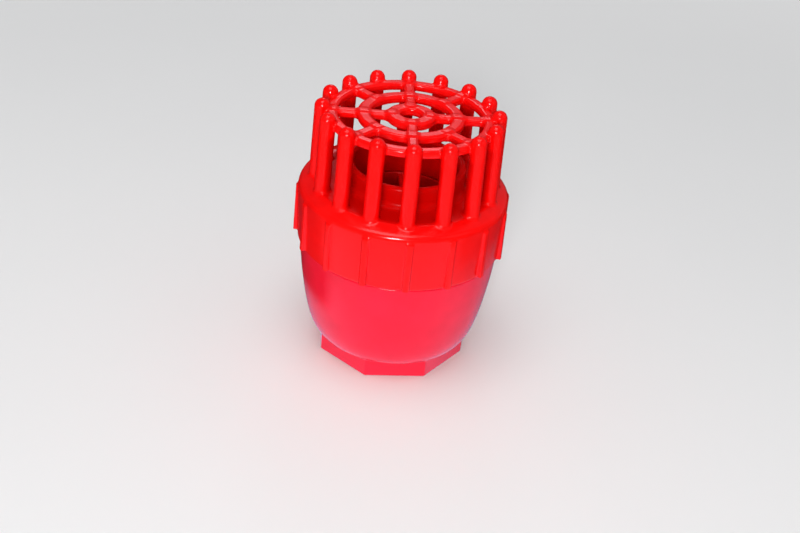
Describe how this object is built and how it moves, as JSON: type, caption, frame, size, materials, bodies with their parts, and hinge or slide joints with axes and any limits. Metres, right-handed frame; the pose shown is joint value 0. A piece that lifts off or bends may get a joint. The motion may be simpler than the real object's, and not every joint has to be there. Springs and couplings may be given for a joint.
{
  "type": "foot valve",
  "caption": "Foot valve for a suction pipe: octagonal threaded end, round bowl with spring-loaded poppet, and a ribbed screw-on strainer basket of round fingers under a spoked grille.",
  "frame": {"origin": "centre of the octagonal pipe-end face, on the flow axis", "axes": "+Z along the flow axis from the pipe end to the domed tips of the strainer; -Y is the front, where one flat of the octagon and one strainer finger face; +X is to the right"},
  "size_m": [0.0632, 0.0632, 0.0782],
  "materials": {
    "body_plastic": "glossy red moulded polypropylene",
    "strainer_plastic": "glossy red moulded polypropylene",
    "insert_plastic": "satin to gloss red moulded polypropylene",
    "nitrile_rubber": "matt black moulded rubber",
    "stainless": "turned stainless steel",
    "spring_steel": "drawn stainless spring wire"
  },
  "bodies": {
    "body": {"valve_body": "body_plastic", "seat_ring": "insert_plastic", "seat_o_ring": "nitrile_rubber", "lower_guide": "insert_plastic", "return_spring": "spring_steel"},
    "cap_seal": {"cap_gasket": "nitrile_rubber"},
    "strainer": {"strainer_cap": "strainer_plastic"},
    "poppet": {"poppet_disc": "insert_plastic", "poppet_stem": "stainless", "seal_washer": "nitrile_rubber", "backing_washer": "stainless", "lock_washer": "stainless", "stem_nut": "stainless"}
  },
  "joints": [
    {"name": "cap_rise", "type": "slide", "parent": "body", "child": "cap_seal", "axis": [0, 0, 1], "range_m": [0, 0.012]},
    {"name": "cap_unscrew", "type": "hinge", "parent": "cap_seal", "child": "strainer", "pos_m": [0, 0, 0.0367], "axis": [0, 0, 1], "range_deg": [0, 1080]},
    {"name": "poppet_lift", "type": "slide", "parent": "body", "child": "poppet", "axis": [0, 0, -1], "range_m": [0, 0.0045], "stiffness_N_per_m": 150, "deforming": ["return_spring"]}
  ],
  "couplings": [
    {"joint": "cap_rise", "follows": "cap_unscrew", "m_per_rad": 0.00063662}
  ]
}
